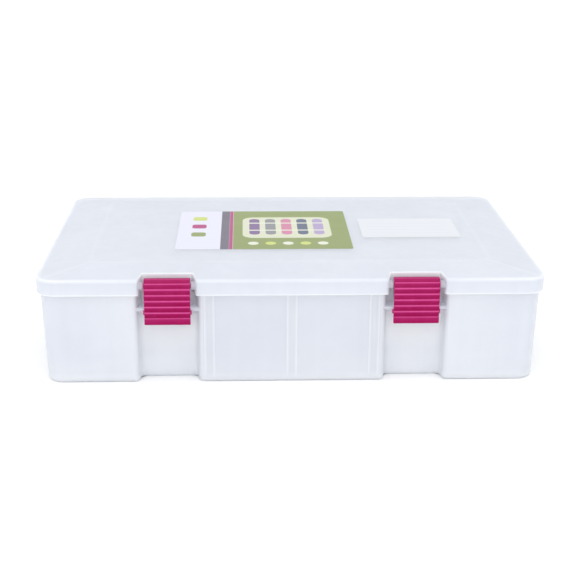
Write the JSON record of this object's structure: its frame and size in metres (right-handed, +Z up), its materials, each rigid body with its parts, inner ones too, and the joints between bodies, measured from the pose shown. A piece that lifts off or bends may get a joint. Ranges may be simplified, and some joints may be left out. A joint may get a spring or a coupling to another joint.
{
  "type": "storage box",
  "caption": "Deep translucent hinged storage box with snap latches, a divided front row and a large rear compartment.",
  "frame": {"origin": "middle of the outline seen from above, on the table under the box", "axes": "+Z up, +X to the right seen from the front, -Y towards the latches at the front"},
  "size_m": [0.3556, 0.2318, 0.0825],
  "materials": {
    "base_plastic": "frosted translucent polypropylene",
    "lid_plastic": "frosted translucent polypropylene, slightly glossier than the base",
    "divider_plastic": "frosted translucent polypropylene sheet",
    "latch_plastic": "opaque magenta moulded plastic, satin gloss",
    "pin_steel": "plain steel wire",
    "label_film": "printed film label, plain bands and ovals of olive, magenta, grey and white",
    "sticker_film": "white paper-like sticker, blank"
  },
  "bodies": {
    "base": {"base_tray": "base_plastic", "hinge_pin_left": "pin_steel", "hinge_pin_right": "pin_steel", "long_divider": "divider_plastic", "cross_divider_left": "divider_plastic", "cross_divider_middle": "divider_plastic", "cross_divider_right": "divider_plastic"},
    "lid": {"lid_shell": "lid_plastic", "top_label": "label_film", "plain_sticker": "sticker_film"},
    "left_latch": {"latch_left": "latch_plastic"},
    "right_latch": {"latch_right": "latch_plastic"}
  },
  "joints": [
    {"name": "lid_hinge", "type": "hinge", "parent": "base", "child": "lid", "pos_m": [0, 0.11336, 0.065], "axis": [-1, 0, 0], "range_deg": [0, 110]},
    {"name": "left_latch_pivot", "type": "hinge", "parent": "lid", "child": "left_latch", "pos_m": [-0.0867, -0.11056, 0.0722], "axis": [-1, 0, 0], "range_deg": [0, 115]},
    {"name": "right_latch_pivot", "type": "hinge", "parent": "lid", "child": "right_latch", "pos_m": [0.0867, -0.11056, 0.0722], "axis": [-1, 0, 0], "range_deg": [0, 115]}
  ]
}
